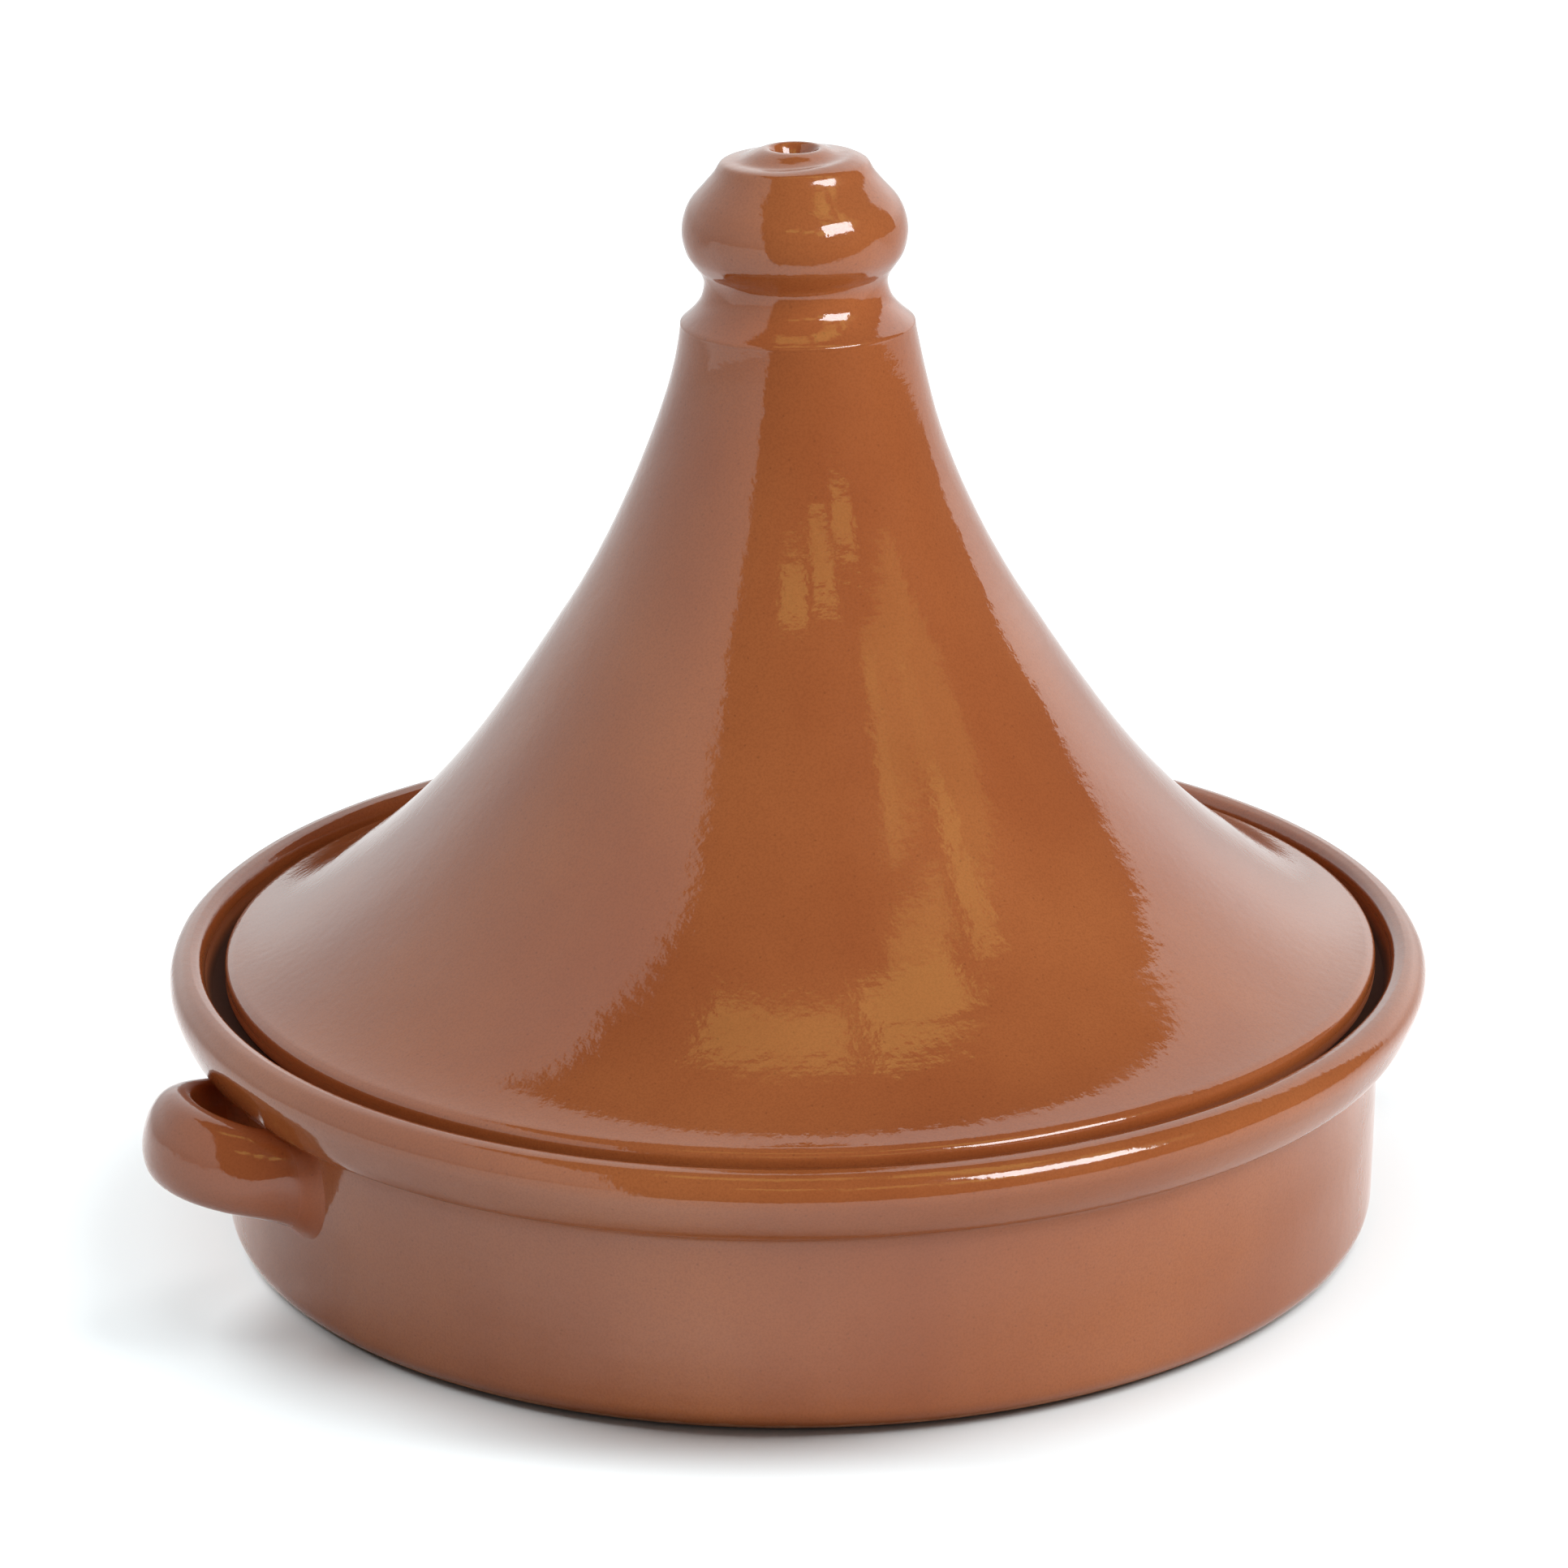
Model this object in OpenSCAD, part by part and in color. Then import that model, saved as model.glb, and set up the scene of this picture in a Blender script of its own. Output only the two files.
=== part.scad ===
// Glazed earthenware stewing pot with a tall flared lid, all sizes in millimetres.
// Origin: centre of the underside. +Z is up, the two loop handles lie along +X and -X.

/* [Dish] */
// Widest diameter, across the rim bead
rim_d = 302; // [240:2:360]
// Height of the rim crest above the table
dish_h = 67.5; // [54:0.5:90]
// Outer diameter of the upright wall, just under the rim
wall_d = 279.8; // [220:0.2:340]
// Height where the wall turns out into the rim bead
bead_z = 45.5; // [34:0.5:70]
// Thickness of the upright wall
wall_t = 8.9; // [6:0.1:12]
// Thickness of the floor
floor_t = 8.5; // [6:0.1:12]
// Radius of the outer corner at the foot
foot_corner = 6; // [3:0.5:10]
// Radius of the inner corner between floor and wall
floor_corner = 14; // [6:0.5:24]
// Inner diameter of the rim, above the ledge that carries the lid
mouth_d = 285; // [225:0.2:346]
// Height of that ledge
ledge_z = 60.2; // [48:0.2:84]

/* [Loop handles] */
// Radius of each loop, along the middle of the clay
loop_r = 22.5; // [18:0.5:30]
// Thickness of the clay, measured in the plane of the loop
loop_t = 14.6; // [12:0.2:22]
// Height of the clay strap
loop_h = 22.4; // [14:0.2:28]
// Height of the middle of each loop where it meets the wall
loop_z = 38; // [26:0.2:50]
// Upward tilt of each loop, in degrees
loop_tilt = 13; // [0:0.5:20]

/* [Lid] */
// Outer diameter of the lid's edge
lid_d = 276.4; // [218:0.2:338]
// Height of the lid's edge above the table
edge_z = 68; // [54:0.2:92]
// Thickness of the lid's wall
lid_t = 6.5; // [5:0.1:9]
// Air under the lid's edge, where it rests on the ledge
seat_gap = 0.3; // [0.2:0.1:1]

/* [Knob] */
// Diameter of the crisp lip where the lid's cone ends
lip_d = 55; // [44:0.5:70]
// Height of that lip above the table
lip_z = 219; // [170:1:280]
// Widest diameter of the knob
knob_d = 52.6; // [40:0.2:70]
// Diameter of the neck below the knob
neck_d = 42.8; // [32:0.2:58]
// Thickness of the hollow knob's wall
knob_t = 7; // [5:0.1:10]
// Diameter of the steam vent
vent_d = 6.4; // [5:0.1:10]

/* [Hidden] */
$fn = 96;
rim_r = rim_d / 2;
wall_r = wall_d / 2;
bore_r = wall_r - wall_t;
mouth_r = mouth_d / 2;
lid_r = lid_d / 2;
lip_r = lip_d / 2;
knob_r = knob_d / 2;
neck_r = neck_d / 2;
vent_r = vent_d / 2;
seat_z = ledge_z + seat_gap;

// a point on a smooth curve between b and c, with a and d as the neighbours
function between(a, b, c, d, t) =
    0.5 * (2 * b + (c - a) * t + (2 * a - 5 * b + 4 * c - d) * t * t + (3 * b - a - 3 * c + d) * t * t * t);
// a smooth curve through every point of p, in n steps from one point to the next
function smooth(p, n) = concat(
    [for (i = [0:len(p) - 2]) for (j = [0:n - 1])
        between(p[max(i - 1, 0)], p[i], p[i + 1], p[min(i + 2, len(p) - 1)], j / n)],
    [p[len(p) - 1]]);
// a circular arc
function arc(c, r, from, to, n) = [for (i = [0:n]) let (a = from + (to - from) * i / n) c + r * [cos(a), sin(a)]];
// a cubic Bezier curve and its direction
function pull(p, t) = pow(1 - t, 3) * p[0] + 3 * pow(1 - t, 2) * t * p[1] + 3 * (1 - t) * t * t * p[2] + pow(t, 3) * p[3];
function along(p, t) = pow(1 - t, 2) * (p[1] - p[0]) + 2 * (1 - t) * t * (p[2] - p[1]) + t * t * (p[3] - p[2]);
// the curve moved sideways by d, towards the axis when it runs outwards and down
function beside(p, d, n) = [for (i = [0:n]) let (v = along(p, i / n)) pull(p, i / n) + d / norm(v) * [v[1], -v[0]]];
function ellipse(a, b, n) = [for (i = [0:n - 1]) [a * cos(360 * i / n), b * sin(360 * i / n)]];
function reversed(p) = [for (i = [len(p) - 1:-1:0]) p[i]];

// foot and outside of the dish up to the crest of its rim
foot = arc([wall_r - 0.9 - foot_corner, foot_corner], foot_corner, -90, 0, 6);
bead = smooth([
    [wall_r, bead_z],
    [wall_r + 0.6, bead_z + 2.4],
    [wall_r + 2.4, bead_z + 3.9],
    [wall_r + 5.2, bead_z + 4.7],
    [rim_r - 3, bead_z + 6.6],
    [rim_r - 1, bead_z + 10.2],
    [rim_r, dish_h - 6],
    [rim_r - 0.8, dish_h - 2.6],
    [rim_r - 2.9, dish_h - 0.5],
    [rim_r - 5, dish_h]], 3);
// inside of the rim, ledge, wall and floor
mouth = smooth([
    [rim_r - 5, dish_h],
    [mouth_r + 0.7, dish_h - 0.6],
    [mouth_r, dish_h - 2],
    [mouth_r - 0.2, ledge_z + 1.6],
    [mouth_r - 1.6, ledge_z]], 3);
hollow = concat(
    arc([bore_r + 1.2, ledge_z - 1.2], 1.2, 90, 180, 3),
    arc([bore_r - 0.9 - floor_corner, floor_t + floor_corner], floor_corner, 0, -90, 8));

// outside of the lid: a steep neck, the cone's flare, then the flatter brim
bend = [lid_r * 0.4, edge_z + 81.4];
turn = [lid_r * 0.778, edge_z + 17.5];
brim_end = [lid_r - 1.8, edge_z];
neck = [[lip_r, lip_z], [lip_r + 3.4, lip_z - 25.5], bend + [-9.5, 14.3], bend];
flare = [bend, bend + [11.4, -17.1], turn + [-26.2, 20.3], turn];
brim = [turn, turn + [9.1, -7], brim_end + [-10.8, 3], brim_end];
edge = smooth([
    brim_end,
    [lid_r - 0.5, edge_z - 0.9],
    [lid_r, edge_z - 2.4],
    [lid_r - 0.2, seat_z + 1.4],
    [lid_r - 1.6, seat_z]], 3);

module dish() {
    color([0.62, 0.33, 0.19])
        rotate_extrude()
            polygon(concat([[0, 0]], foot, bead, mouth, hollow, [[0, floor_t]]));
}

// everything inside the dish's outer surface
module dish_bulk() {
    rotate_extrude()
        polygon(concat([[0, 0]], foot, bead, [[0, dish_h]]));
}

// a half ring of oval clay, pressed against the wall and under the rim
module handle(side) {
    color([0.58, 0.30, 0.17])
        rotate([0, 0, side])
            difference() {
                translate([wall_r - 2.2, 0, loop_z])
                    rotate([0, -loop_tilt, 0])
                        rotate([0, 0, -90])
                            union() {
                                rotate_extrude(angle = 180)
                                    translate([loop_r, 0])
                                        polygon(ellipse(loop_t / 2, loop_h / 2, 32));
                                for (x = [-loop_r, loop_r])
                                    translate([x, 0, 0])
                                        rotate([90, 0, 0])
                                            linear_extrude(8)
                                                polygon(ellipse(loop_t / 2, loop_h / 2, 32));
                            }
                dish_bulk();
            }
}

module handle_right() {
    handle(0);
}

module handle_left() {
    handle(180);
}

module lid_cone() {
    inside = concat(beside(neck, lid_t, 10), [for (i = [1:10]) beside(flare, lid_t, 10)[i]],
        [for (i = [1:8]) beside(brim, lid_t, 10)[i]]);
    color([0.66, 0.35, 0.18])
        rotate_extrude()
            polygon(concat(
                [[lip_r - lid_t, lip_z]],
                [for (i = [0:9]) pull(neck, i / 10)],
                [for (i = [0:12]) pull(flare, i / 12)],
                [for (i = [1:9]) pull(brim, i / 10)],
                edge,
                [[lid_r - 7.8, seat_z]],
                reversed([for (q = inside) if (q[1] > seat_z + 1 && q[1] < lip_z - 2) q])));
}

module lid_knob() {
    outside = concat(
        smooth([
            [lip_r, lip_z],
            [lip_r - 0.2, lip_z + 0.9],
            [lip_r - 1.7, lip_z + 2.2],
            [neck_r + 2.4, lip_z + 4.2],
            [neck_r + 0.8, lip_z + 6.6],
            [neck_r, lip_z + 10],
            [neck_r + 0.7, lip_z + 12.6],
            [knob_r - 2.6, lip_z + 14.8],
            [knob_r - 0.9, lip_z + 17.6],
            [knob_r, lip_z + 21.8],
            [knob_r - 0.5, lip_z + 25.8],
            [knob_r - 2.1, lip_z + 29.4],
            [knob_r - 5.2, lip_z + 33],
            [knob_r - 7.4, lip_z + 35.6],
            [knob_r - 8.6, lip_z + 37.6]], 3),
        smooth([
            [knob_r - 9.4, lip_z + 38.5],
            [knob_r - 11.2, lip_z + 39.2],
            [13, lip_z + 39.9],
            [9.4, lip_z + 40.9],
            [6.7, lip_z + 41.6],
            [5.3, lip_z + 40.8],
            [vent_r, lip_z + 36]], 3));
    inside = smooth([
        [vent_r, lip_z + 33.4],
        [8, lip_z + 32.8],
        [knob_r - knob_t - 3.4, lip_z + 28.6],
        [knob_r - knob_t, lip_z + 21.8],
        [knob_r - knob_t - 2, lip_z + 16.4],
        [neck_r - knob_t + 0.6, lip_z + 10],
        [neck_r - knob_t + 1.8, lip_z + 5],
        [lip_r - lid_t, lip_z]], 3);
    color([0.68, 0.36, 0.18])
        rotate_extrude()
            polygon(concat(outside, inside));
}

dish();
handle_left();
handle_right();
lid_cone();
lid_knob();
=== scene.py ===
"""Looks of a honey-brown glazed stewing pot with a flared lid, built around its CAD frame.

Lengths in the profiles are millimetres, everything else is metres. The lathe-turned
pieces repeat the CAD profiles with finer curves and a little of a hand-thrown pot's
unevenness. The two loops are swept strips of clay, pressed against the wall.
"""

import math

import bmesh
import bpy
import numpy as np
from mathutils import Matrix, Vector, noise


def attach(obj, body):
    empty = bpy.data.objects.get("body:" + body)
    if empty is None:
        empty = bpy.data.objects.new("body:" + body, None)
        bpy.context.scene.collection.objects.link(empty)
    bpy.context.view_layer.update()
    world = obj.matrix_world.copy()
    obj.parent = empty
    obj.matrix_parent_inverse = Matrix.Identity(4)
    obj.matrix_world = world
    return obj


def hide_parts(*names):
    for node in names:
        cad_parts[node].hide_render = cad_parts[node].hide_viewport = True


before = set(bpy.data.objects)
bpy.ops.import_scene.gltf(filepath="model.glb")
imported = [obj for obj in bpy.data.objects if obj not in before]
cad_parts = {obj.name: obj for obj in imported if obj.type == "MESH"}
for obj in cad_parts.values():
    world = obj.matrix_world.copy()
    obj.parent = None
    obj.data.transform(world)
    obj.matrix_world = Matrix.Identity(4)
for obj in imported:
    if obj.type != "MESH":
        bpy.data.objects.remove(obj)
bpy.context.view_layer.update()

MM = 0.001
TURN = 2 * math.pi

# the camera stands off to the left of the pot's front, 27 degrees round from -Y
CAMERA_AZIMUTH = math.radians(-27.1)
CAMERA_DISTANCE = 1.2849
CAMERA_HEIGHT = 0.54683
CAMERA_PITCH = math.radians(18.95)
CAMERA_YAW = math.radians(-0.1224)
CAMERA_ROLL = math.radians(-0.6624)
CAMERA_LENS = 130.435


# ---------------------------------------------------------------- curves

def smooth(points, steps):
    """A Catmull-Rom curve through every point, in that many steps from one to the next."""
    points = [np.array(p, float) for p in points]
    curve = []
    for i in range(len(points) - 1):
        a, b = points[max(i - 1, 0)], points[i]
        c, d = points[i + 1], points[min(i + 2, len(points) - 1)]
        for j in range(steps):
            t = j / steps
            curve.append(0.5 * (2 * b + (c - a) * t + (2 * a - 5 * b + 4 * c - d) * t * t
                                + (3 * b - a - 3 * c + d) * t ** 3))
    curve.append(points[-1])
    return curve


def arc(centre, radius, start, end, steps):
    """Points on a circular arc, with its angles in degrees."""
    angles = np.radians(np.linspace(start, end, steps + 1))
    return [np.array([centre[0] + radius * math.cos(a), centre[1] + radius * math.sin(a)]) for a in angles]


def pull(p, t):
    """A point on a cubic Bezier curve."""
    p = [np.array(q, float) for q in p]
    return (1 - t) ** 3 * p[0] + 3 * (1 - t) ** 2 * t * p[1] + 3 * (1 - t) * t * t * p[2] + t ** 3 * p[3]


def along(p, t):
    """The direction of that curve."""
    p = [np.array(q, float) for q in p]
    return (1 - t) ** 2 * (p[1] - p[0]) + 2 * (1 - t) * t * (p[2] - p[1]) + t * t * (p[3] - p[2])


def beside(p, gap, t):
    """A point at that distance to the inner side of the curve."""
    v = along(p, t)
    return pull(p, t) + gap / np.hypot(*v) * np.array([v[1], -v[0]])


def evenly(points, step):
    """The same line with points no further apart than step."""
    out = [np.array(points[0], float)]
    for a, b in zip(points, points[1:]):
        a, b = np.array(a, float), np.array(b, float)
        count = max(1, math.ceil(np.hypot(*(b - a)) / step))
        out += [a + (b - a) * (k + 1) / count for k in range(count)]
    return out


# ---------------------------------------------------------------- profiles, (radius, height)

FLOOR_T = 8.5
LEDGE_Z = 60.2
FOOT_R = 133
FOOT_CORNER = 6
WALL_FOOT_R = 139
WALL_TOP_R = 139.9
BEAD_Z = 45.5
BORE_R = 131.0
FLOOR_CORNER = 14
BORE_TAPER = 0.9
LEDGE_CORNER = 1.2
LIP_Z = 219.0
LID_T = 6.5
SEAT_Z = 60.5


def dish_profile():
    foot = arc((FOOT_R, FOOT_CORNER), FOOT_CORNER, -90, 0, 10)
    wall = evenly([(WALL_FOOT_R, FOOT_CORNER), (WALL_TOP_R, BEAD_Z)], 1.3)[1:]
    bead = smooth([(WALL_TOP_R, BEAD_Z), (140.5, 47.9), (142.3, 49.4), (145.1, 50.2), (147, 51.9),
                   (149.2, 55.7), (151, 60.7), (150.2, 64.2), (148, 66.4), (145.8, 67)], 5)[1:]
    mouth = smooth([(145.8, 67), (143.5, 66.2), (142.5, 64.5), (142.3, 61.8), (140.9, LEDGE_Z)], 5)[1:]
    ledge = evenly([(140.9, LEDGE_Z), (BORE_R + LEDGE_CORNER, LEDGE_Z)], 2)[1:]
    centre = (BORE_R + LEDGE_CORNER, LEDGE_Z - LEDGE_CORNER)
    hollow = arc(centre, LEDGE_CORNER, 90, 180, 4)[1:]
    bore_foot = (BORE_R - BORE_TAPER, FLOOR_T + FLOOR_CORNER)
    inside = evenly([(BORE_R, LEDGE_Z - LEDGE_CORNER), bore_foot], 1.6)[1:]
    floor_r = BORE_R - BORE_TAPER - FLOOR_CORNER
    corner = arc((floor_r, FLOOR_T + FLOOR_CORNER), FLOOR_CORNER, 0, -90, 12)[1:]
    flat = evenly([(floor_r, FLOOR_T), (0, FLOOR_T)], 6)[1:]
    under = evenly([(0, 0), (FOOT_R, 0)], 12)[:-1]
    return under + foot + wall + bead + mouth + ledge + hollow + inside + corner + flat


# the lid's outside: a steep neck, the long flare and the flatter brim
LIP_R = 27.5
NECK = [(LIP_R, LIP_Z), (30.9, 193.5), (45.8, 163.7), (55.3, 149.4)]
FLARE = [(55.3, 149.4), (66.7, 132.3), (81.9, 106.1), (107.5, 85.5)]
BRIM = [(107.5, 85.5), (116.6, 78.5), (125.6, 71), (136.4, 68)]


def cone_edge():
    return smooth([(136.4, 68), (137.7, 67.1), (138.2, 65.6), (138, 61.9), (136.6, SEAT_Z)], 6)


def cone_profile():
    flare = [pull(NECK, i / 64) for i in range(64)] + [pull(FLARE, i / 70) for i in range(71)]
    brim = [pull(BRIM, i / 34) for i in range(1, 35)]
    edge = evenly([(136.4, 68), (136.2, 62.5), (136.0, SEAT_Z)], 1.0)[1:]
    seat = evenly([(136.0, SEAT_Z), (130.4, SEAT_Z)], 1.6)[1:]
    under = [beside(BRIM, LID_T, i / 12) for i in range(9, 0, -1)]
    under += [beside(FLARE, LID_T, i / 26) for i in range(26, 0, -1)]
    under += [beside(NECK, LID_T, i / 26) for i in range(26, -1, -1)]
    under = [q for q in under if SEAT_Z + 1 < q[1] < LIP_Z - 2]
    return [np.array([LIP_R - LID_T, LIP_Z])] + flare + brim + edge + seat + under


def edge_profile():
    """The rounded edge of the lid, a ring whose back is sunk in the brim."""
    back = evenly([(136.6, SEAT_Z), (135, SEAT_Z + 0.4)], 0.8)[1:]
    back += evenly([(135, SEAT_Z + 0.4), (135, 67.2)], 1.2)[1:]
    return [pull(BRIM, i / 34) + (0.0, 0.004) for i in range(33, 35)] + cone_edge()[1:] + back


def knob_profile():
    def up(points):
        return [(r, LIP_Z + h) for r, h in points]
    skirt = smooth(up([(27.5, 0), (27.3, 0.9), (25.8, 2.2), (23.8, 4.2), (22.2, 6.6), (21.4, 10),
                       (22.1, 12.6), (23.7, 14.8), (25.4, 17.6), (26.3, 21.8), (25.8, 25.8), (24.2, 29.4),
                       (21.1, 33), (18.9, 35.6), (17.7, 37.6)]), 5)
    crown = smooth(up([(17.7, 37.6), (16.9, 38.5), (15.1, 39.2), (13, 39.9), (9.4, 40.9), (6.7, 41.6),
                       (5.3, 40.8), (3.2, 36)]), 5)[1:]
    vent = evenly(up([(3.2, 36), (3.2, 33.4)]), 0.9)[1:]
    inside = smooth(up([(3.2, 33.4), (8, 32.8), (15.9, 28.6), (19.3, 21.8), (17.3, 16.4), (15, 10), (16.2, 5),
                        (21, 0)]), 4)[1:]
    return skirt + crown + vent + inside


# ---------------------------------------------------------------- meshes

def unevenness(points, seed, wobble, ripple, dents):
    """How far each point of a thrown pot stands in or out of the true circle, in millimetres."""
    x, y, z = points.T
    angle = np.arctan2(y, x)
    rise = z / 60 + seed
    out = wobble * (np.cos(2 * angle + 1.3 * seed + 0.5 * rise) + 0.5 * np.cos(3 * angle + 2.1 * seed - rise)
                    + 0.25 * np.cos(5 * angle + 0.7 * seed + 2 * rise))
    # throwing lines climb slowly round the pot
    climb = z + 1.3 * angle + 0.8 * np.sin(angle + seed)
    lines = (np.sin(climb * TURN / 6.1 + seed) + 0.7 * np.sin(climb * TURN / 4.3)
             + 0.5 * np.sin(climb * TURN / 2.6 + 2))
    out += ripple * lines * (0.6 + 0.4 * np.sin(z / 17 + 2 * angle))
    soft = [noise.noise(Vector(p) / 21 + Vector((seed, 0, 0))) + 0.5 * noise.noise(Vector(p) / 9)
            for p in points]
    return out + dents * np.array(soft)


def mesh_object(name, points, faces):
    """A smooth-shaded object whose points are given in millimetres."""
    mesh = bpy.data.meshes.new(name)
    mesh.from_pydata([tuple(p) for p in np.asarray(points) * MM], [], faces)
    bm = bmesh.new()
    bm.from_mesh(mesh)
    bmesh.ops.recalc_face_normals(bm, faces=bm.faces)
    bm.to_mesh(mesh)
    bm.free()
    mesh.shade_smooth()
    mesh.set_sharp_from_angle(angle=math.radians(38))
    piece = bpy.data.objects.new(name, mesh)
    bpy.context.scene.collection.objects.link(piece)
    return piece


def sagging(points):
    """The knob's top sags between the vent and the shoulder, most in front, and swells on the right."""
    x, y, z = points.T
    radius = np.hypot(x, y)
    front = CAMERA_AZIMUTH - math.pi / 2
    angle = np.arctan2(y, x) - front
    top = np.clip((z - LIP_Z - 36.2) / 1.5, 0, 1)
    dip = 1.0 * np.exp(-((radius - 11.5) / 2.8) ** 2) * (0.6 + 0.4 * np.cos(angle + 0.5))
    swell = 0.5 * np.exp(-((radius - 15.5) / 2.5) ** 2) * np.clip(np.cos(angle - 1.4), 0, 1)
    points[:, 2] += top * (swell - dip)


# how much higher the rim's bead stands behind the lid, and in which direction from the camera's right
RAISED = 2.5
HIGHEST = math.radians(122)


def raised(points):
    """The rim stands a little higher behind the lid, towards the left, than in front of it."""
    x, y, z = points.T
    radius = np.hypot(x, y)
    behind = 0.5 + 0.5 * np.cos(np.arctan2(y, x) - CAMERA_AZIMUTH - HIGHEST)
    points[:, 2] += RAISED * behind ** 1.5 * np.clip((z - 54) / 10, 0, 1) * np.clip((radius - 142) / 2, 0, 1)


# how far the lid leans, stands off centre and bends at the neck, all towards the camera's right
LEAN = 0.0034
LID_ASIDE = 0.4
NECK_ASIDE = 0.7
NECK_Z = 212


def lathe(name, profile, segments, seed, wobble, ripple, dents, lean=0.0, true_at=(), press=None):
    """A solid turned about Z, whose profile runs round the section, or from the axis back to the axis.
    Its unevenness dies away towards the heights in true_at, where it meets another piece."""
    profile = [np.array(p, float) for p in profile]
    closed = profile[0][0] > 1e-6
    angles = np.arange(segments) * TURN / segments
    points, starts = [], []
    for r, z in profile:
        starts.append(len(points))
        if r < 1e-6:
            points.append((0, 0, z))
        else:
            points += [(r * math.cos(a), r * math.sin(a), z) for a in angles]
    points = np.array(points, float)
    size = np.diff(starts + [len(points)])
    radius = np.hypot(points[:, 0], points[:, 1])
    away = unevenness(points, seed, wobble, ripple, dents) * np.clip((radius - 4) / 12, 0, 1)
    for height in true_at:
        away *= np.clip(abs(points[:, 2] - height) / 6, 0, 1)
    # the seats and the underside stay true
    slope = np.zeros(len(points))
    for k, start in enumerate(starts):
        before, after = profile[k - 1], profile[(k + 1) % len(profile)]
        run = after - before
        slope[start:start + size[k]] = abs(run[1]) / (np.hypot(*run) + 1e-9)
    away *= np.clip(slope * 2.5, 0, 1)
    scale = 1 + away / np.maximum(radius, 1)
    points[:, 0] *= scale
    points[:, 1] *= scale
    if lean:
        # the lid leans and stands off centre, and its neck is a little out of line
        up = points[:, 2:3]
        aside = lean * up + LID_ASIDE + NECK_ASIDE * np.exp(-((up - NECK_Z) / 16) ** 2)
        points[:, :2] += aside * np.array([[math.cos(CAMERA_AZIMUTH), math.sin(CAMERA_AZIMUTH)]])
    if press:
        press(points)
    faces = []
    for k in range(len(profile) if closed else len(profile) - 1):
        a, b = k, (k + 1) % len(profile)
        for j in range(segments):
            i = (j + 1) % segments
            if size[a] == 1:
                faces.append((starts[a], starts[b] + j, starts[b] + i))
            elif size[b] == 1:
                faces.append((starts[a] + j, starts[b], starts[a] + i))
            else:
                faces.append((starts[a] + j, starts[b] + j, starts[b] + i, starts[a] + i))
    return mesh_object(name, points, faces)


# the middle line of each loop, and half the thickness and height of its clay
LOOP_REACH = 23.6
LOOP_SPREAD = 20.4
LOOP_Z = 38.4
LOOP_TILT = math.radians(15.3)
LOOP_HALF_T = 7.4
LOOP_HALF_H = 11.2
# how far from the wall the feet start to spread, at the side and below, and how wide they get
FILLET = 10.0
SKIRT = 14.0
SPREAD = 7.0
# how deep the loop's root goes into the wall, and how far its ends may go
ROOT = 2.0
DEEPEST = 5.5


def wall_radius(z):
    """Outer radius of the dish below its rim."""
    return WALL_FOOT_R + (WALL_TOP_R - WALL_FOOT_R) * (z - FOOT_CORNER) / (BEAD_Z - FOOT_CORNER)


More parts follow.
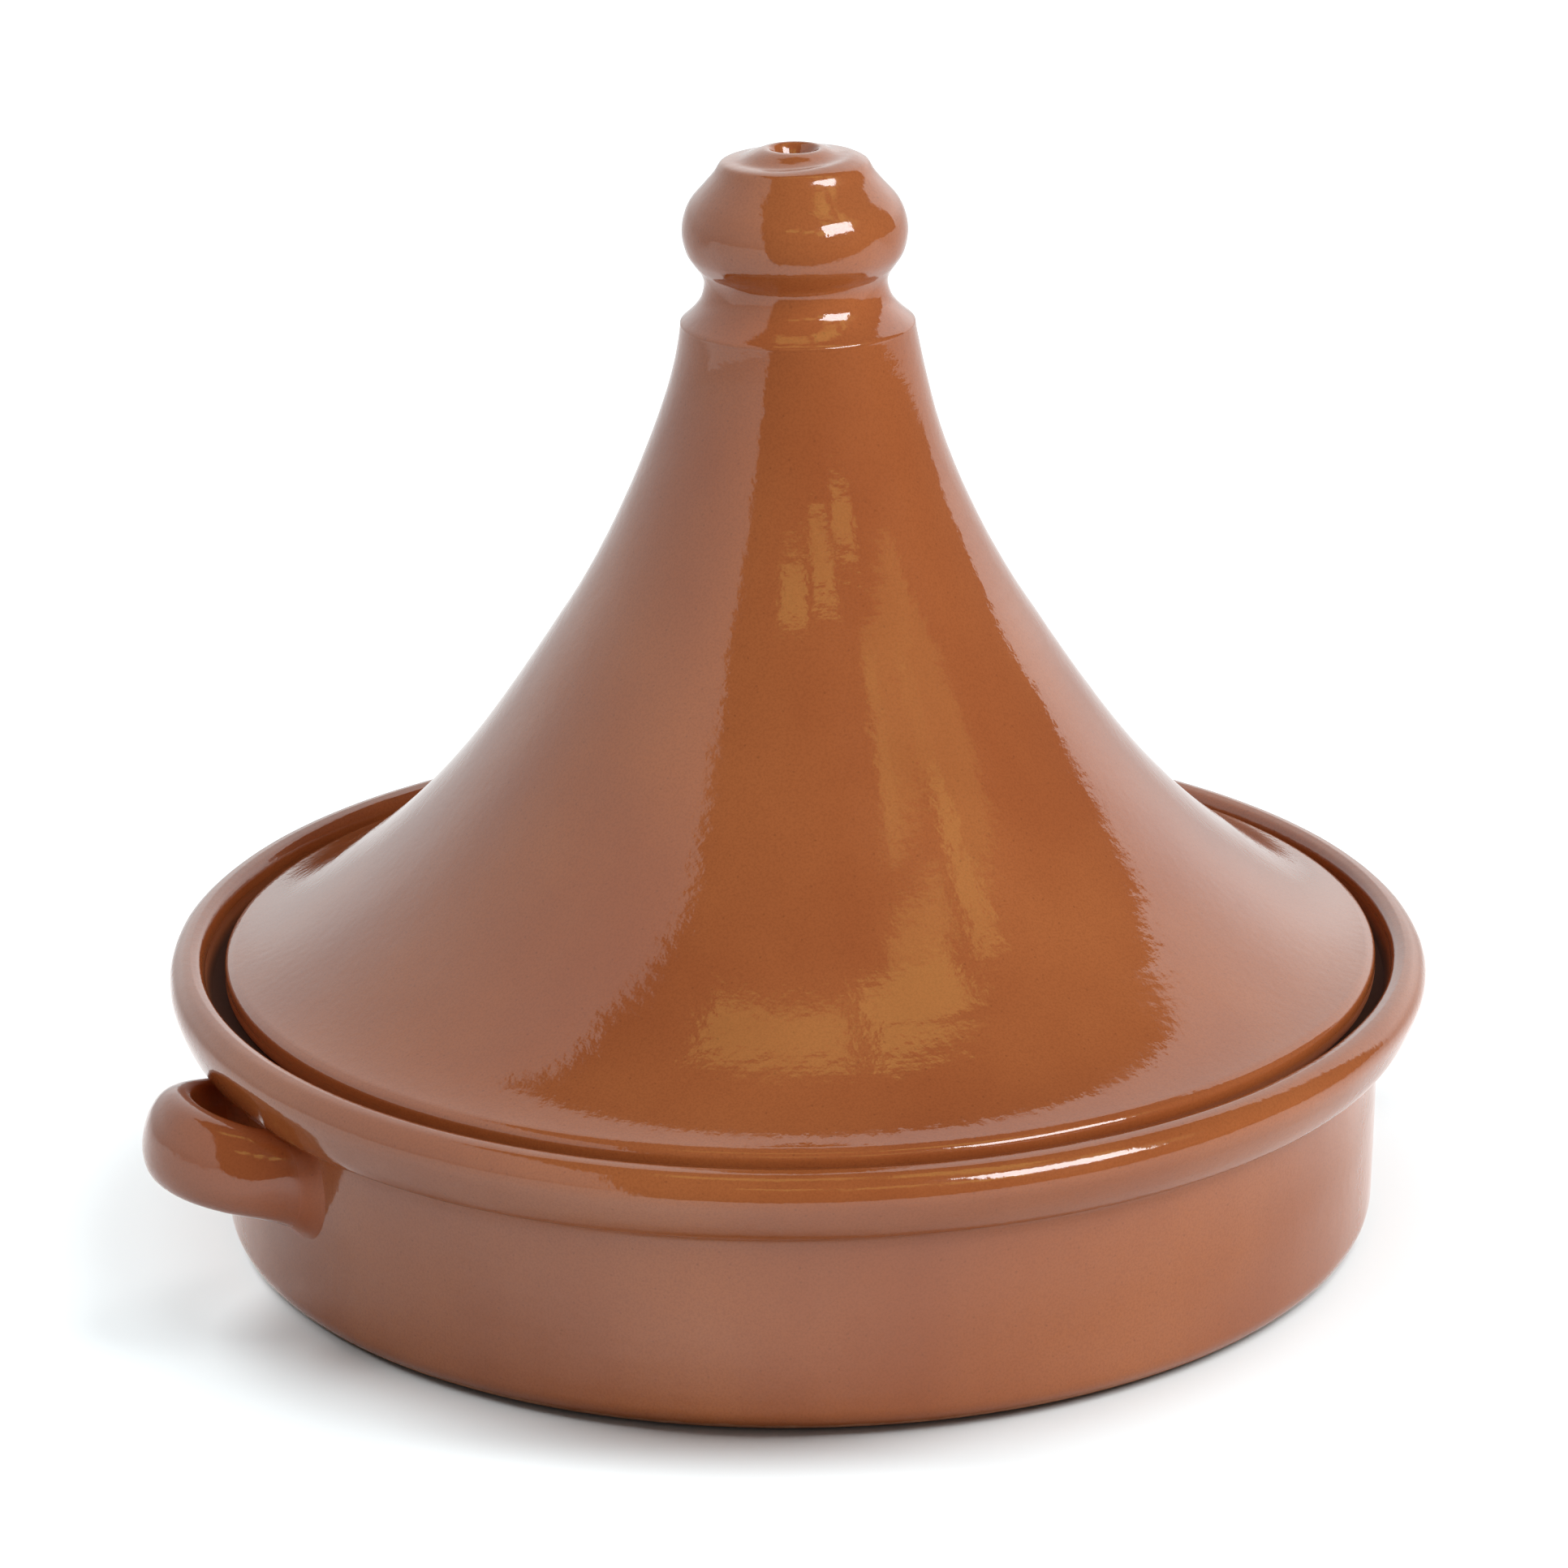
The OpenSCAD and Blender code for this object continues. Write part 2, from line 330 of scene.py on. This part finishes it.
def loop_handle(name, side, seed):
    """A strap of clay bent into an ear and smeared onto the wall, on the side given as +1 or -1."""
    around, steps = 72, 150
    angles = np.arange(around) * TURN / around
    points = []
    for k in range(-12, steps + 13):
        s = min(max(k / steps, 0), 1)
        # the sections lie closest together at the feet
        t = s ** 2.2 / (s ** 2.2 + (1 - s) ** 2.2)
        turn = math.pi * t
        reach = LOOP_REACH * math.sin(turn) ** 0.97
        # the loop is pinched a little just before its feet
        y = -LOOP_SPREAD * math.cos(turn) * (1 - 0.1 * math.exp(-(reach / 9) ** 2))
        tangent = Vector((math.cos(turn), LOOP_SPREAD / LOOP_REACH * math.sin(turn), 0)).normalized()
        outward = Vector((tangent.y, -tangent.x, 0))
        # beyond the path's ends the strap runs on into the wall
        sunk = 0.08 * max(-k, k - steps, 0) ** 1.4
        base = wall_radius(LOOP_Z) - ROOT
        tall = LOOP_HALF_H - 0.8 * math.cos(turn) ** 2
        for a in angles:
            # the inner face of the strap is flatter than the outer one, and leans back towards the top
            round_off = 0.9 if math.cos(a) > 0 else 0.75
            upward = tall * math.copysign(abs(math.sin(a)) ** 0.9, math.sin(a))
            across = LOOP_HALF_T * math.copysign(abs(math.cos(a)) ** round_off, math.cos(a))
            if across < 0:
                across *= 1 - 0.45 * min(max(upward / tall + 0.3, 0), 1)
            x = reach + outward.x * across
            px = base + x * math.cos(LOOP_TILT) - upward * math.sin(LOOP_TILT) - sunk
            py = y + outward.y * across
            pz = LOOP_Z + x * math.sin(LOOP_TILT) + upward * math.cos(LOOP_TILT)
            # near the wall the clay spreads out in a fillet that runs along the wall's curve
            height = math.hypot(px, py) - wall_radius(pz)
            reach_out = FILLET + (SKIRT - FILLET) * min(max(-upward / tall, 0), 1)
            if height < reach_out:
                h = max(height, 0) / reach_out
                spread = SPREAD * (1 - math.sqrt(1 - (1 - h) ** 2)) * (0.85 - 0.2 * upward / tall)
                centre = -LOOP_SPREAD if t < 0.5 else LOOP_SPREAD
                away = Vector((py - centre, pz - LOOP_Z)).normalized() * spread
                py += away.x * 0.9
                pz += away.y
                # its thin edge runs just under the wall's surface
                px = math.sqrt((wall_radius(pz) + height - 0.9 * (1 - h) ** 3) ** 2 - py ** 2)
            points.append((px, py, pz))
    # a thumb has smoothed the clay where it joins the wall
    rows = np.array(points).reshape(-1, around, 3)
    for _ in range(14):
        rows[1:-1] = 0.5 * rows[1:-1] + 0.25 * (rows[:-2] + rows[2:])
        rows = 0.5 * rows + 0.25 * (np.roll(rows, 1, 1) + np.roll(rows, -1, 1))
    points = rows.reshape(-1, 3)
    # its ends stay inside the clay of the wall
    radius = np.hypot(points[:, 0], points[:, 1])
    least = np.array([wall_radius(z) for z in points[:, 2]]) - DEEPEST
    points[:, :2] *= (np.maximum(radius, least) / radius)[:, None]
    lump = [0.3 * noise.noise(Vector(p) / 13 + Vector((seed, 0, 0))) for p in points]
    points[:, 2] += lump
    points[:, 0] += np.array(lump) * 0.3
    points[:, :2] *= side
    rings = len(points) // around
    faces = [tuple(range(around)), tuple(range(len(points) - 1, len(points) - 1 - around, -1))]
    for k in range(rings - 1):
        for j in range(around):
            i = (j + 1) % around
            faces.append((k * around + j, k * around + i, (k + 1) * around + i, (k + 1) * around + j))
    return mesh_object(name, points, faces)


# ---------------------------------------------------------------- materials

def add(tree, kind, values=None, **settings):
    """A new node with its settings and inputs. An input is a number, a colour or another node's output."""
    item = tree.nodes.new(kind)
    for key, value in settings.items():
        setattr(item, key, value)
    for key, value in (values or {}).items():
        if isinstance(value, bpy.types.NodeSocket):
            tree.links.new(value, item.inputs[key])
        else:
            item.inputs[key].default_value = value
    return item


def maths(tree, operation, a, b=0.0, c=0.0):
    return add(tree, "ShaderNodeMath", {0: a, 1: b, 2: c}, operation=operation).outputs[0]


def ramp(tree, value, low, high, to_low=0.0, to_high=1.0):
    """A smooth step from to_low to to_high as value goes from low to high."""
    return add(tree, "ShaderNodeMapRange", {0: value, 1: low, 2: high, 3: to_low, 4: to_high},
               interpolation_type="SMOOTHSTEP").outputs[0]


def mix(tree, factor, a, b, blend="MIX"):
    """The colour a, mixed with the colour b."""
    item = add(tree, "ShaderNodeMix", data_type="RGBA", blend_type=blend)
    for key, value in ((0, factor), (6, a), (7, b)):
        if isinstance(value, bpy.types.NodeSocket):
            tree.links.new(value, item.inputs[key])
        else:
            item.inputs[key].default_value = value
    return item.outputs[2]


def fractal(tree, vector, scale, detail=2.0, rough=0.5):
    return add(tree, "ShaderNodeTexNoise", {"Vector": vector, "Scale": scale, "Detail": detail,
                                            "Roughness": rough}).outputs["Fac"]


def glaze(name, deep, honey, foot=False, smear=False):
    """Clear brown glaze over red clay: pooled and thin places, specks, throwing lines, orange peel."""
    material = bpy.data.materials.new(name)
    material.use_nodes = True
    tree = material.node_tree
    shader = tree.nodes["Principled BSDF"]
    place = add(tree, "ShaderNodeTexCoord").outputs["Object"]
    parts = add(tree, "ShaderNodeSeparateXYZ", {0: place})
    flat = add(tree, "ShaderNodeCombineXYZ", {0: parts.outputs[0], 1: parts.outputs[1]})
    radius = add(tree, "ShaderNodeVectorMath", {0: flat.outputs[0]}, operation="LENGTH").outputs["Value"]
    rings = add(tree, "ShaderNodeCombineXYZ", {0: radius, 1: parts.outputs[2]}).outputs[0]
    # runs of glaze are long and upright
    upright = add(tree, "ShaderNodeVectorMath", {0: place, 1: (1, 1, 0.12)}, operation="MULTIPLY").outputs[0]

    cloud = fractal(tree, place, 14, 3)
    runs = fractal(tree, upright, 60, 3, 0.5)
    thick = maths(tree, "ADD", maths(tree, "MULTIPLY", cloud, 0.8), maths(tree, "MULTIPLY", runs, 0.2))
    colour = mix(tree, ramp(tree, thick, 0.25, 0.75), (*deep, 1), (*honey, 1))
    grain = fractal(tree, place, 1900, 2)
    colour = mix(tree, ramp(tree, grain, 0.35, 0.75, 0.0, 0.22), colour, (0.2, 0.045, 0.012, 1))
    # iron specks under the glaze
    cells = add(tree, "ShaderNodeTexVoronoi", {"Vector": place, "Scale": 520.0, "Randomness": 1.0})
    pick = add(tree, "ShaderNodeSeparateColor", {0: cells.outputs["Color"]})
    speck = maths(tree, "MULTIPLY", ramp(tree, cells.outputs["Distance"], 0.09, 0.2, 1, 0),
                  ramp(tree, pick.outputs[0], 0.72, 0.76))
    colour = mix(tree, maths(tree, "MULTIPLY", speck, 0.22), colour, (0.1, 0.022, 0.008, 1))

    peel = fractal(tree, place, 420, 2, 0.4)
    lines = fractal(tree, rings, 620, 3, 0.6)
    pits = fractal(tree, place, 1500, 1)
    height = maths(tree, "ADD", maths(tree, "MULTIPLY", peel, 0.00006),
                   maths(tree, "MULTIPLY", lines, 0.000015))
    height = maths(tree, "ADD", height, maths(tree, "MULTIPLY", pits, 0.000010))
    bump = add(tree, "ShaderNodeBump", {"Strength": 1.0, "Distance": 1.0, "Height": height})
    gloss = ramp(tree, fractal(tree, place, 60, 3), 0.3, 0.7, 0.05, 0.1)

    # the glaze is thin and dull where the lid's edge sits, and the ledge under it is painted near-black as
    # shade in the gap between lid and rim
    ring = maths(tree, "MULTIPLY", ramp(tree, radius, 0.1335, 0.1345),
                 ramp(tree, radius, 0.1425, 0.1435, 1, 0))
    dull = maths(tree, "MULTIPLY", ring, ramp(tree, parts.outputs[2], 0.0625, 0.0655, 1, 0))
    dull = maths(tree, "MULTIPLY", dull, ramp(tree, parts.outputs[2], 0.0590, 0.0597))
    gloss = maths(tree, "MAXIMUM", gloss, maths(tree, "MULTIPLY", dull, 0.9))
    # painted shade: the ledge and the lid's seat in the gap are darkened almost to black
    ledge = maths(tree, "MULTIPLY", ring, ramp(tree, parts.outputs[2], 0.0602, 0.0625, 1, 0))
    ledge = maths(tree, "MULTIPLY", ledge, ramp(tree, parts.outputs[2], 0.0590, 0.0597))
    colour = mix(tree, maths(tree, "MULTIPLY", ledge, 0.85), colour, (0.03, 0.012, 0.008, 1))

    if smear:
        # the smeared clay next to the wall took less glaze
        near = ramp(tree, radius, 0.1425, 0.1475, 1, 0)
        gloss = maths(tree, "MAXIMUM", gloss, maths(tree, "MULTIPLY", near, 0.38))

    if foot:
        # the underside is wiped clean of glaze before firing
        normal = add(tree, "ShaderNodeSeparateXYZ",
                     {0: add(tree, "ShaderNodeNewGeometry").outputs["Normal"]}).outputs[2]
        ragged = maths(tree, "MULTIPLY_ADD", fractal(tree, place, 160, 3), 0.0016, parts.outputs[2])
        bare = maths(tree, "MULTIPLY", ramp(tree, ragged, 0.0024, 0.0030, 1, 0),
                     ramp(tree, normal, -0.5, 0.0, 1, 0))
        clay = mix(tree, ramp(tree, fractal(tree, place, 240, 5, 0.7), 0.3, 0.7), (0.42, 0.17, 0.085, 1),
                   (0.56, 0.27, 0.15, 1))
        colour = mix(tree, bare, colour, clay)
        gloss = maths(tree, "ADD", gloss, maths(tree, "MULTIPLY", bare, 0.75))

    tree.links.new(colour, shader.inputs["Base Color"])
    tree.links.new(gloss, shader.inputs["Roughness"])
    tree.links.new(bump.outputs[0], shader.inputs["Normal"])
    shader.inputs["IOR"].default_value = 1.5
    return material


# ---------------------------------------------------------------- the pot

dish = lathe("dish_turned", dish_profile(), 288, 1.0, 0.06, 0.010, 0.10, press=raised)
cone = lathe("lid_cone_turned", cone_profile(), 288, 4.0, 0.05, 0.012, 0.12, LEAN, (68, LIP_Z))
edge = lathe("lid_edge_turned", edge_profile(), 288, 4.0, 0.05, 0.012, 0.12, LEAN, (68,))
knob = lathe("lid_knob_turned", knob_profile(), 192, 2.0, 0.04, 0.010, 0.06, LEAN, (LIP_Z,), sagging)
right = loop_handle("handle_right_pulled", 1, 3.0)
left = loop_handle("handle_left_pulled", -1, 7.0)

glazes = {"dish_glaze": glaze("dish_honey", (0.40, 0.105, 0.028), (0.51, 0.156, 0.046), foot=True),
          "handle_glaze": glaze("handle_honey", (0.35, 0.083, 0.023), (0.45, 0.126, 0.036), smear=True),
          "lid_glaze": glaze("lid_honey", (0.41, 0.107, 0.030), (0.52, 0.159, 0.047))}

for piece, node, body, slot in ((dish, "dish", "dish", "dish_glaze"),
                                (right, "handle_right", "dish", "handle_glaze"),
                                (left, "handle_left", "dish", "handle_glaze"),
                                (cone, "lid_cone", "lid", "lid_glaze"),
                                (edge, "lid_cone", "lid", "lid_glaze"),
                                (knob, "lid_knob", "lid", "lid_glaze")):
    piece.data.materials.append(glazes[slot])
    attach(piece, body)
    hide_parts(node)


# ---------------------------------------------------------------- studio

def horizontal(azimuth):
    """The level direction at that angle, in degrees, from the camera's side towards its right."""
    angle = math.radians(azimuth) + CAMERA_AZIMUTH
    return Vector((math.sin(angle), -math.cos(angle), 0))


def camera():
    """The camera, turned as a whole with the pot's front at its azimuth."""
    pitch, yaw, roll = CAMERA_PITCH, CAMERA_YAW, CAMERA_ROLL
    forward = Vector((math.sin(yaw) * math.cos(pitch), math.cos(yaw) * math.cos(pitch), -math.sin(pitch)))
    side = Vector((math.cos(yaw), -math.sin(yaw), 0))
    up = side.cross(forward)
    x = math.cos(roll) * side + math.sin(roll) * up
    y = -math.sin(roll) * side + math.cos(roll) * up
    placed = Matrix((x, y, -forward)).transposed().to_4x4()
    placed.translation = Vector((0, -CAMERA_DISTANCE, CAMERA_HEIGHT))
    data = bpy.data.cameras.new("camera")
    data.sensor_width = 36
    data.lens = CAMERA_LENS
    data.clip_end = 100
    item = bpy.data.objects.new("camera", data)
    item.matrix_world = Matrix.Rotation(CAMERA_AZIMUTH, 4, "Z") @ placed
    bpy.context.scene.collection.objects.link(item)
    bpy.context.scene.camera = item


def floor():
    mesh = bpy.data.meshes.new("floor")
    half = 14
    corners = [(-half, -half, 0), (half, -half, 0), (half, half, 0), (-half, half, 0)]
    mesh.from_pydata(corners, [], [(0, 1, 2, 3)])
    item = bpy.data.objects.new("floor", mesh)
    item.location.z = -0.0001
    bpy.context.scene.collection.objects.link(item)
    material = bpy.data.materials.new("floor_paper")
    material.use_nodes = True
    shader = material.node_tree.nodes["Principled BSDF"]
    tree = material.node_tree
    path = add(tree, "ShaderNodeLightPath")
    place = add(tree, "ShaderNodeTexCoord").outputs["Object"]
    ahead = add(tree, "ShaderNodeVectorMath", {0: place, 1: horizontal(0)},
                operation="DOT_PRODUCT").outputs["Value"]
    # the glaze mirrors the paper with painted shade: near-black in front of the pot, as an unlit room beyond
    # the paper, and falling off behind it
    leftward = add(tree, "ShaderNodeVectorMath", {0: place, 1: horizontal(90) + horizontal(0) * 0.55},
                   operation="DOT_PRODUCT").outputs["Value"]
    painted_dark_front = maths(tree, "MULTIPLY", ramp(tree, ahead, 0.31, 0.36), ramp(tree, leftward, 0.02, 0.08))
    # painted shade on the paper, seen only in the glaze's reflections
    mirrored = maths(tree, "MULTIPLY", ramp(tree, painted_dark_front, 0, 1, 0.9, 0.07),
                     ramp(tree, ahead, -0.4, 0.0, 0.62, 1))
    mirrored = mix(tree, mirrored, (0, 0, 0, 1), (1, 1, 1, 1))
    paper = mix(tree, path.outputs["Is Glossy Ray"], (0.823, 0.885, 0.903, 1), mirrored)
    paper = mix(tree, path.outputs["Is Diffuse Ray"], paper, (0.25, 0.25, 0.25, 1))
    tree.links.new(paper, shader.inputs["Base Color"])
    shader.inputs["Roughness"].default_value = 0.9
    shader.inputs["Specular IOR Level"].default_value = 0.0
    mesh.materials.append(material)
    return item


# the even light from all round, and how bright each part of the mirrored surroundings is
AMBIENT = 0.1
FRONT = 0.13
SCREEN_LEFT = 1.4
HORIZON = 1.0
SCREEN_RIGHT = 2.0
WARM = (2.7, 2.15, 0.65, 1)


def surround():
    """What the glaze mirrors: white screens to the left and behind, a dark room, warm panes overhead."""
    world = bpy.data.worlds.new("studio")
    bpy.context.scene.world = world
    world.use_nodes = True
    world.cycles.sampling_method = "NONE"
    tree = world.node_tree
    way = add(tree, "ShaderNodeTexCoord").outputs["Generated"]

    def dot(direction):
        return add(tree, "ShaderNodeVectorMath", {0: way, 1: direction},
                   operation="DOT_PRODUCT").outputs["Value"]

    def bearing(centre):
        """The azimuth of the ray in degrees, from that centre."""
        turned = maths(tree, "ARCTAN2", dot(horizontal(centre + 90)), dot(horizontal(centre)))
        return maths(tree, "DEGREES", turned)

    def between(value, low, high, soft):
        return maths(tree, "MULTIPLY", ramp(tree, value, low - soft, low + soft),
                     ramp(tree, value, high - soft, high + soft, 1, 0))

    rise = dot((0, 0, 1))
    height = maths(tree, "DEGREES", maths(tree, "ARCSINE", rise))
    round_back = bearing(-135)
    round_front = bearing(0)

    def beyond(right_, front, up):
        """1 on the far side of a plane through the pot, whose normal has those parts."""
        normal = horizontal(90) * right_ + horizontal(0) * front + Vector((0, 0, up))
        return ramp(tree, dot(normal.normalized()), -0.015, 0.015, 1, 0)

    # straight-edged screens: one to the left, two behind and to the right
    left_screen = maths(tree, "MULTIPLY", beyond(1, 0.55, 0.26), beyond(1, 0, 0.48))
    back_screen = maths(tree, "MULTIPLY", beyond(0.12, 1, 0.46), beyond(0.7, 1, -0.1))
    screens = maths(tree, "MAXIMUM", left_screen, back_screen)
    white = mix(tree, ramp(tree, round_back, -110, 20), (SCREEN_RIGHT, SCREEN_RIGHT, SCREEN_RIGHT, 1),
                (SCREEN_LEFT, SCREEN_LEFT, SCREEN_LEFT, 1))
    white = mix(tree, ramp(tree, height, -6, 14), (HORIZON, HORIZON, HORIZON, 1), white)
    colour = mix(tree, screens, (FRONT, FRONT, FRONT, 1), white)

    # where the ray meets a level ceiling one unit up: to the camera's right, and towards the camera
    above = maths(tree, "MAXIMUM", rise, 0.05)
    across = maths(tree, "DIVIDE", dot(horizontal(90)), above)
    nearer = maths(tree, "DIVIDE", dot(horizontal(0)), above)
    slant = maths(tree, "SUBTRACT", across, maths(tree, "MULTIPLY", nearer, 0.75))
    # each pane: two coordinates with their limits, how soft its edges are, and how strong it is
    for a, a_low, a_high, b, b_low, b_high, soft, strength in (
            (slant, 0.02, 1.40, nearer, 0.58, 0.98, 0.05, 0.33),
            (slant, 0.50, 1.40, nearer, 0.20, 0.62, 0.05, 0.30),
            (slant, 0.02, 0.17, nearer, 0.55, 0.80, 0.04, 0.3),
            (slant, 0.50, 0.68, nearer, 0.12, 0.52, 0.03, 0.55),
            (slant, 0.06, 0.40, nearer, 0.25, 0.42, 0.05, 0.5),
            (across, -0.24, 0.115, nearer, 0.07, 0.225, 0.02, 0.6),
            (across, 0.165, 0.50, nearer, 0.05, 0.27, 0.025, 0.75),
            (round_front, -11, 5, height, 33, 39, 1.2, 0.7),
            (round_front, 10, 25, height, 31.5, 36.5, 1.2, 0.7),
            (round_front, 8, 22, height, 28, 31.5, 1.2, 0.65),
            (round_front, 26, 42, height, 23, 31, 1.2, 0.7)):
        pane = maths(tree, "MULTIPLY", between(a, a_low, a_high, soft), between(b, b_low, b_high, soft))
        colour = mix(tree, maths(tree, "MULTIPLY", pane, strength), colour, WARM)

    path = add(tree, "ShaderNodeLightPath")
    colour = mix(tree, path.outputs["Is Diffuse Ray"], colour, (AMBIENT, AMBIENT, AMBIENT, 1))
    colour = mix(tree, path.outputs["Is Camera Ray"], colour, (1.2, 1.2, 1.2, 1))
    tree.links.new(colour, tree.nodes["Background"].inputs["Color"])


def lamp(name, kind, azimuth, height, on, **settings):
    """A lamp in that direction, in degrees, that lights only the pieces given."""
    data = bpy.data.lights.new(name, kind)
    for key, value in settings.items():
        setattr(data, key, value)
    item = bpy.data.objects.new(name, data)
    rise = math.radians(height)
    towards = horizontal(azimuth) * math.cos(rise) + Vector((0, 0, math.sin(rise)))
    item.location = towards * 2.0
    item.rotation_euler = towards.to_track_quat("Z", "Y").to_euler()
    bpy.context.scene.collection.objects.link(item)
    group = bpy.data.collections.new(name + "_lit")
    for piece in on:
        group.objects.link(piece)
    item.light_linking.receiver_collection = group
    return item


def lamps(paper):
    """Soft lights on both sides of the paper, a broad fill from the front right for the pot, and a window."""
    pot = [dish, cone, edge, knob, left, right]
    soft = [lamp("left", "SUN", -120, 45, [paper], energy=3.4, angle=math.radians(40)),
            lamp("right", "SUN", 100, 35, [paper], energy=2.6, angle=math.radians(30)),
            lamp("high_right", "SUN", 106, 61, [paper], energy=1.6, angle=math.radians(32)),
            lamp("top", "SUN", 0, 89, [paper], energy=0.5, angle=math.radians(25)),
            lamp("fill", "SUN", 52, 30, pot, energy=2.25, angle=math.radians(60)),
            lamp("side", "SUN", -90, 30, pot, energy=0.6, angle=math.radians(60))]
    for item in soft:
        item.visible_glossy = False
    window = lamp("window", "AREA", 50, 37, [dish, edge, knob, left, right], shape="RECTANGLE", size=1.0,
                  size_y=0.7, energy=39, color=(0.93, 0.95, 1.0))
    window.visible_diffuse = False
    window.visible_camera = False


camera()
surround()
lamps(floor())
bpy.context.scene.view_settings.view_transform = "Standard"
